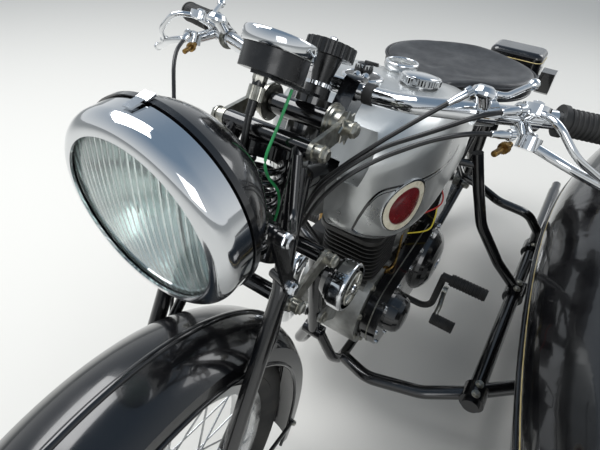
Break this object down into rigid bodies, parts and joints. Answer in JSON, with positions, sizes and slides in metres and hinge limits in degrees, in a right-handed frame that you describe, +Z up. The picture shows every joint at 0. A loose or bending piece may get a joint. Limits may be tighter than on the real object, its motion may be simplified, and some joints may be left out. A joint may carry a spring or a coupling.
{
  "type": "sidecar motorcycle",
  "caption": "Girder-fork motorcycle with a rigid frame, a side-valve single engine and a boat-shaped single-seat sidecar on its left, standing on its three wheels.",
  "frame": {"origin": "middle of the outfit's footprint, on the ground", "axes": "+X forward, +Y to the sidecar on the left, +Z up"},
  "size_m": [2.3008, 1.6815, 1.0383],
  "materials": {
    "black_paint": "gloss",
    "silver_paint": "satin",
    "chrome": "polished",
    "wheel_chrome": "polished",
    "bright_steel": "brushed",
    "chain_steel": "oiled",
    "aluminium": "cast",
    "cast_iron": "black",
    "brass": "worn",
    "black_plastic": "gloss",
    "cable_black": "satin",
    "rubber": "matt",
    "tyre": "matt",
    "leather": "satin",
    "lamp_glass": "clear",
    "screen": "clear"
  },
  "bodies": {
    "frame": {"carburettor": "brass", "chaincase": "black_paint", "crankcase": "aluminium", "cylinder": "cast_iron", "cylinder_head": "cast_iron", "drive_chain": "chain_steel", "exhaust": "chrome", "foot_levers": "bright_steel", "footrests": "rubber", "frame_tubes": "black_paint", "fuel_tank": "silver_paint", "gearbox": "aluminium", "horn": "black_paint", "magneto": "aluminium", "rear_axle": "bright_steel", "rear_case": "black_paint", "rear_mudguard": "black_paint", "saddle": "leather", "saddle_springs": "black_paint", "side_boxes": "black_paint", "sidecar_arms": "black_paint", "sidecar_body": "black_paint", "sidecar_chassis": "black_paint", "sidecar_mudguard": "black_paint", "sidecar_screen": "screen", "sidecar_seat": "leather", "sidecar_springs": "bright_steel", "tail_lamp": "black_paint", "tank_fittings": "chrome"},
    "fork": {"fork_girders": "black_paint", "fork_links": "bright_steel", "lower_crown": "black_paint", "top_crown": "black_paint", "fork_spring": "black_paint", "handlebar": "chrome", "grips": "rubber", "bar_levers": "chrome", "speedometer": "black_plastic", "steering_damper": "black_plastic", "headlamp_rim": "chrome", "headlamp_lens": "lamp_glass", "headlamp_shell": "black_paint", "lamp_brackets": "black_paint", "front_brake": "aluminium", "front_mudguard": "black_paint", "control_cables": "cable_black"},
    "front_wheel": {"front_wheel": "wheel_chrome", "front_tyre": "tyre"},
    "rear_wheel": {"rear_wheel": "wheel_chrome", "rear_tyre": "tyre"},
    "sidecar_wheel": {"sidecar_wheel": "wheel_chrome", "sidecar_tyre": "tyre"}
  },
  "joints": [
    {"name": "steering", "type": "hinge", "parent": "frame", "child": "fork", "pos_m": [0.45349, -0.381, 0.78409], "axis": [-0.454, 0, 0.891], "range_deg": [-30, 30]},
    {"name": "front_wheel_spin", "type": "hinge", "parent": "fork", "child": "front_wheel", "pos_m": [0.782, -0.381, 0.328], "axis": [0, 1, 0], "continuous": true},
    {"name": "rear_wheel_spin", "type": "hinge", "parent": "frame", "child": "rear_wheel", "pos_m": [-0.59, -0.381, 0.328], "axis": [0, 1, 0], "continuous": true},
    {"name": "sidecar_wheel_spin", "type": "hinge", "parent": "frame", "child": "sidecar_wheel", "pos_m": [-0.39, 0.769, 0.328], "axis": [0, 1, 0], "continuous": true}
  ]
}
